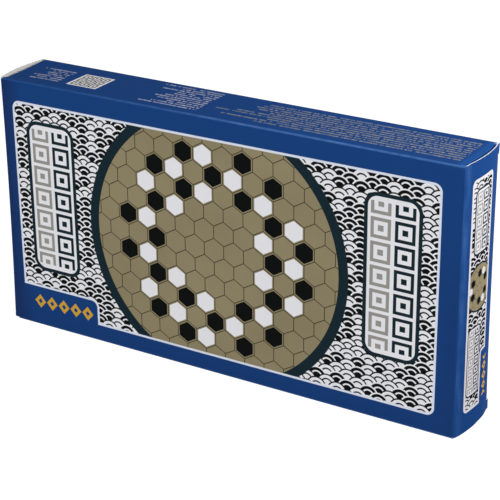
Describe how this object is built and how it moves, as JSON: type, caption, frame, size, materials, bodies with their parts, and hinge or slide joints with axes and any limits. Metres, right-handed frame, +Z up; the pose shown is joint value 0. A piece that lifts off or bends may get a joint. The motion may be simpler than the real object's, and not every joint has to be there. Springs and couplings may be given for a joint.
{
  "type": "boxed travel go set",
  "caption": "Folding magnetic go board with its stones in a tuck-end carton that stands on its long narrow side; both ends open on creased flaps.",
  "frame": {"origin": "on the surface the carton stands on, under the centre of its bounding box", "axes": "+X along the carton to the right seen from its front, +Y from the front panel to the back panel, +Z up"},
  "size_m": [0.3046, 0.042, 0.158],
  "materials": {
    "carton_board": "folding boxboard, printed blue outside under a satin varnish, unprinted grey-white inside and at the cut edges",
    "tray_plastic": "moulded near-black green plastic, fine satin grain",
    "tin_steel": "thin tinned sheet",
    "playing_film": "tan printed film with dark lines",
    "hinge_steel": "drawn wire",
    "magnet": "nickel plated",
    "black_stone": "polished moulding",
    "white_stone": "polished moulding",
    "leaflet_paper": "uncoated paper"
  },
  "bodies": {
    "carton": {"carton_sleeve": "carton_board", "rules_leaflet": "leaflet_paper"},
    "right_end_panel": {"right_end_panel": "carton_board"},
    "right_tuck_tab": {"right_tuck_tab": "carton_board"},
    "right_top_dust_flap": {"right_top_dust_flap": "carton_board"},
    "right_bottom_dust_flap": {"right_bottom_dust_flap": "carton_board"},
    "left_end_panel": {"left_end_panel": "carton_board"},
    "left_tuck_tab": {"left_tuck_tab": "carton_board"},
    "left_top_dust_flap": {"left_top_dust_flap": "carton_board"},
    "left_bottom_dust_flap": {"left_bottom_dust_flap": "carton_board"},
    "board_front": {"front_tray": "tray_plastic", "front_steel_sheet": "tin_steel", "front_playing_sheet": "playing_film", "front_catch_magnets": "magnet", "hinge_pins": "hinge_steel", "black_stones": "black_stone"},
    "board_back": {"back_tray": "tray_plastic", "back_steel_sheet": "tin_steel", "back_playing_sheet": "playing_film", "back_catch_magnets": "magnet", "white_stones": "white_stone"}
  },
  "joints": [
    {"name": "right_end_open", "type": "hinge", "parent": "carton", "child": "right_end_panel", "pos_m": [0.14975, -0.02075, 0.079], "axis": [0, 0, -1], "range_deg": [0, 180]},
    {"name": "right_tuck_tab_unfold", "type": "hinge", "parent": "right_end_panel", "child": "right_tuck_tab", "pos_m": [0.14975, 0.01995, 0.079], "axis": [0, 0, -1], "range_deg": [0, 36]},
    {"name": "right_top_dust_flap_open", "type": "hinge", "parent": "carton", "child": "right_top_dust_flap", "pos_m": [0.14895, 0, 0.15775], "axis": [0, -1, 0], "range_deg": [0, 90]},
    {"name": "right_bottom_dust_flap_open", "type": "hinge", "parent": "carton", "child": "right_bottom_dust_flap", "pos_m": [0.14895, 0, 0.00025], "axis": [0, 1, 0], "range_deg": [0, 90]},
    {"name": "left_end_open", "type": "hinge", "parent": "carton", "child": "left_end_panel", "pos_m": [-0.14975, -0.02075, 0.079], "axis": [0, 0, 1], "range_deg": [0, 180]},
    {"name": "left_tuck_tab_unfold", "type": "hinge", "parent": "left_end_panel", "child": "left_tuck_tab", "pos_m": [-0.14975, 0.01995, 0.079], "axis": [0, 0, 1], "range_deg": [0, 36]},
    {"name": "left_top_dust_flap_open", "type": "hinge", "parent": "carton", "child": "left_top_dust_flap", "pos_m": [-0.14895, 0, 0.15775], "axis": [0, 1, 0], "range_deg": [0, 90]},
    {"name": "left_bottom_dust_flap_open", "type": "hinge", "parent": "carton", "child": "left_bottom_dust_flap", "pos_m": [-0.14895, 0, 0.00025], "axis": [0, -1, 0], "range_deg": [0, 90]},
    {"name": "board_slide", "type": "slide", "parent": "carton", "child": "board_front", "axis": [1, 0, 0], "range_m": [-0.0015, 0.0015]},
    {"name": "board_fold", "type": "hinge", "parent": "board_front", "child": "board_back", "pos_m": [0, -0.0014, 0.0028], "axis": [-1, 0, 0], "range_deg": [0, 1.3]}
  ],
  "couplings": [
    {"joint": "right_tuck_tab_unfold", "follows": "right_end_open", "ratio": 0.2},
    {"joint": "right_top_dust_flap_open", "follows": "right_end_open", "ratio": 0.5},
    {"joint": "right_bottom_dust_flap_open", "follows": "right_end_open", "ratio": 0.5},
    {"joint": "left_tuck_tab_unfold", "follows": "left_end_open", "ratio": 0.2},
    {"joint": "left_top_dust_flap_open", "follows": "left_end_open", "ratio": 0.5},
    {"joint": "left_bottom_dust_flap_open", "follows": "left_end_open", "ratio": 0.5}
  ]
}
